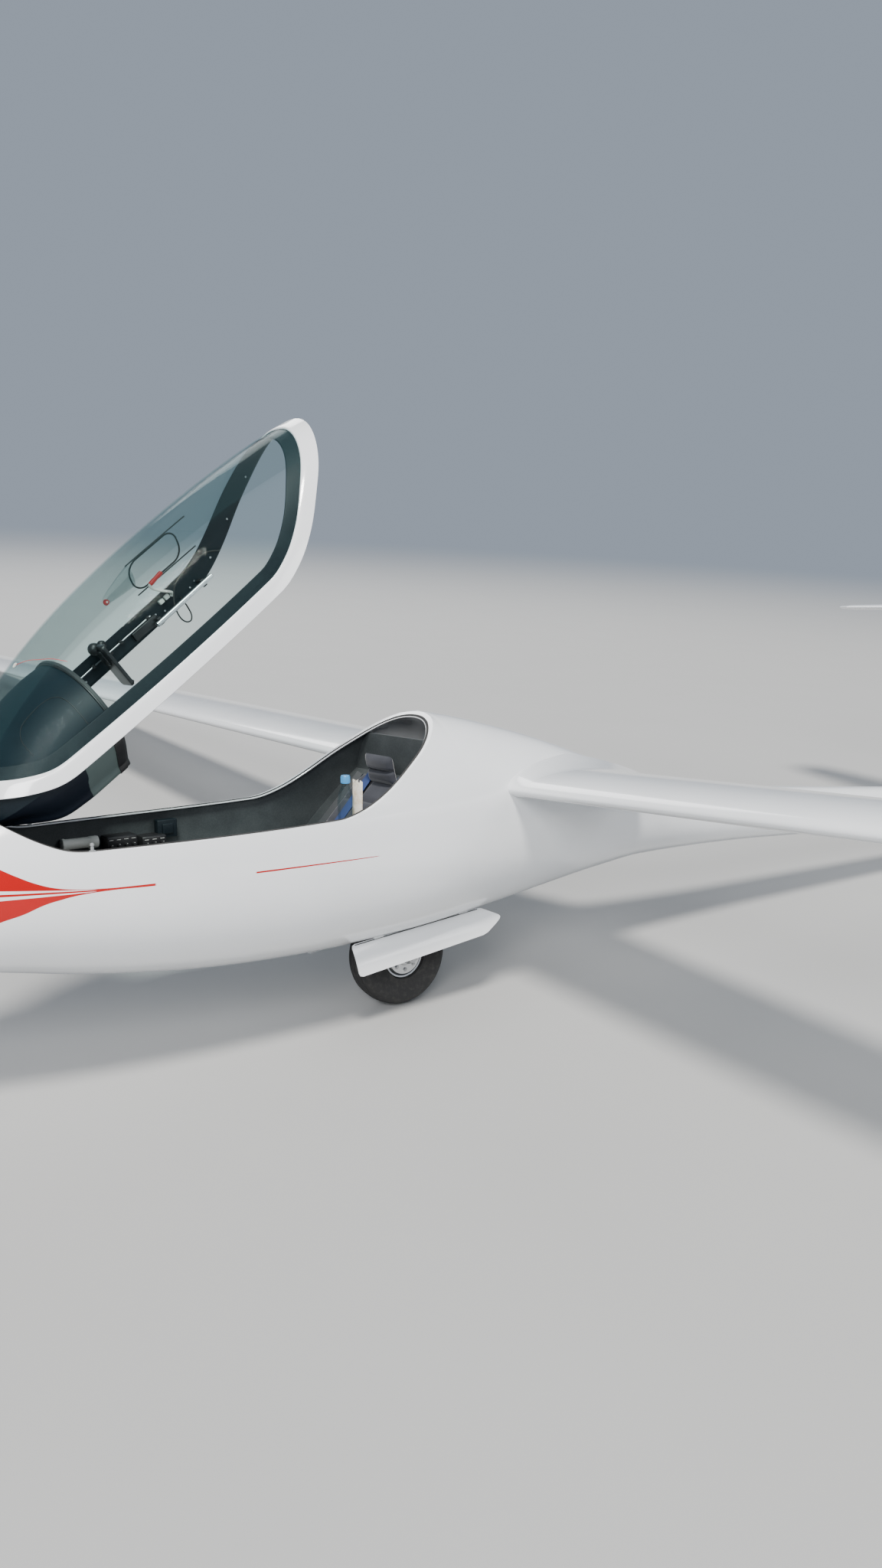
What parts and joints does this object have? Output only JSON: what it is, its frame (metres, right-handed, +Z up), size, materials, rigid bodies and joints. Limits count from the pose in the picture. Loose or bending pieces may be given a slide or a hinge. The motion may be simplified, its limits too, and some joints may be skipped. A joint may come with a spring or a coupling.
{
  "type": "sailplane",
  "caption": "Sailplane with a T-tail, long slender wings with upturned tips, an extended main wheel and a front-hinged canopy standing open, at rest on its starboard wing tip.",
  "frame": {"origin": "on the ground under the centre of the bounding box", "axes": "+X aft along the fuselage, +Y to starboard, the low wing tip, +Z up"},
  "size_m": [6.78, 17.868, 2.5006],
  "materials": {
    "gelcoat": "glossy white gelcoat",
    "glazing": "clear, faintly green-blue acrylic",
    "dark_trim": "matt near-black composite",
    "panel": "matt dark instrument panel",
    "screen": "glossy black display",
    "grey_trim": "matt light grey cockpit trim",
    "seat": "dark woven seat lining",
    "tyre": "dusty black rubber",
    "hub": "cast and turned aluminium",
    "steel": "plain machined steel",
    "grey_steel": "grey painted steel tube and plate",
    "alloy": "satin aluminium",
    "red_plastic": "red moulded plastic",
    "clear_plastic": "clear moulded plastic with a blue cap",
    "blue_plastic": "blue moulded plastic"
  },
  "bodies": {
    "airframe": {"nose_shell": "gelcoat", "cockpit_shell": "gelcoat", "centre_shell": "gelcoat", "tail_boom": "gelcoat", "tail_wheel_fairing": "gelcoat", "wing_inner_port": "gelcoat", "wing_outer_port": "gelcoat", "winglet_port": "gelcoat", "wing_inner_starboard": "gelcoat", "wing_outer_starboard": "gelcoat", "winglet_starboard": "gelcoat", "tailplane": "gelcoat", "fin": "gelcoat", "fin_probe": "alloy", "main_axle": "steel", "gear_fork": "grey_steel", "gear_door_port": "gelcoat", "gear_door_starboard": "gelcoat", "tow_hook": "steel", "hinge_bracket": "steel", "seat_pan": "seat", "seat_back": "seat", "headrest": "seat", "control_stick": "dark_trim", "rudder_pedals": "alloy", "side_console_port": "grey_trim", "side_console_starboard": "grey_trim", "side_pocket_port": "dark_trim", "drink_bottle": "clear_plastic", "air_duct": "grey_trim", "switch_box_front": "dark_trim", "switch_box_rear": "dark_trim", "airbrake_handle": "blue_plastic", "flap_handle": "dark_trim"},
    "canopy": {"canopy_frame": "gelcoat", "canopy_glazing": "glazing", "instrument_hood": "dark_trim", "instrument_panel": "panel", "panel_screen": "screen", "canopy_arm": "steel", "device_mount": "dark_trim", "lock_lever": "red_plastic", "lock_rod": "alloy"},
    "main_wheel": {"main_tyre": "tyre", "main_hub": "hub"},
    "tail_wheel": {"tail_tyre": "tyre", "tail_hub": "hub"},
    "rudder": {"rudder": "gelcoat"},
    "elevator": {"elevator": "gelcoat"},
    "flap_port": {"flap_port": "gelcoat"},
    "flap_starboard": {"flap_starboard": "gelcoat"},
    "aileron_port": {"aileron_inner_port": "gelcoat", "aileron_outer_port": "gelcoat"},
    "aileron_starboard": {"aileron_inner_starboard": "gelcoat", "aileron_outer_starboard": "gelcoat"}
  },
  "joints": [
    {"name": "canopy_hinge", "type": "hinge", "parent": "airframe", "child": "canopy", "pos_m": [-2.93398, -0.07399, 0.82782], "axis": [0, 0.9934, -0.1147], "range_deg": [0, 38]},
    {"name": "main_wheel_spin", "type": "hinge", "parent": "airframe", "child": "main_wheel", "pos_m": [-1.42002, -0.14876, 0.18004], "axis": [0, 0.9934, -0.1147], "continuous": true},
    {"name": "tail_wheel_spin", "type": "hinge", "parent": "airframe", "child": "tail_wheel", "pos_m": [2.80998, -0.1575, 0.10431], "axis": [0, 0.9934, -0.1147], "continuous": true},
    {"name": "rudder_hinge", "type": "hinge", "parent": "airframe", "child": "rudder", "pos_m": [3.04599, -0.14236, 0.23542], "axis": [0.0305, 0.1146, 0.9929], "range_deg": [-30, 30]},
    {"name": "elevator_hinge", "type": "hinge", "parent": "airframe", "child": "elevator", "pos_m": [3.09405, -1.19655, 1.48051], "axis": [0, 0.9934, -0.1147], "range_deg": [-22, 18]},
    {"name": "flap_port_hinge", "type": "hinge", "parent": "airframe", "child": "flap_port", "pos_m": [-0.57798, -0.41961, 0.79869], "axis": [0.0068, 0.9889, -0.1486], "range_deg": [-12, 45]},
    {"name": "flap_starboard_hinge", "type": "hinge", "parent": "airframe", "child": "flap_starboard", "pos_m": [-0.57798, 0.25591, 0.72073], "axis": [-0.0068, 0.9967, -0.0806], "range_deg": [-12, 45]},
    {"name": "aileron_port_hinge", "type": "hinge", "parent": "airframe", "child": "aileron_port", "pos_m": [-0.60698, -4.63479, 1.43203], "axis": [0.0229, 0.9878, -0.1537], "range_deg": [-20, 20]},
    {"name": "aileron_starboard_hinge", "type": "hinge", "parent": "airframe", "child": "aileron_starboard", "pos_m": [-0.60698, 4.50454, 0.37717], "axis": [-0.0229, 0.9969, -0.0754], "range_deg": [-20, 20]}
  ],
  "couplings": [
    {"joint": "flap_port_hinge", "follows": "flap_starboard_hinge", "ratio": 1},
    {"joint": "aileron_port_hinge", "follows": "aileron_starboard_hinge", "ratio": -1}
  ]
}
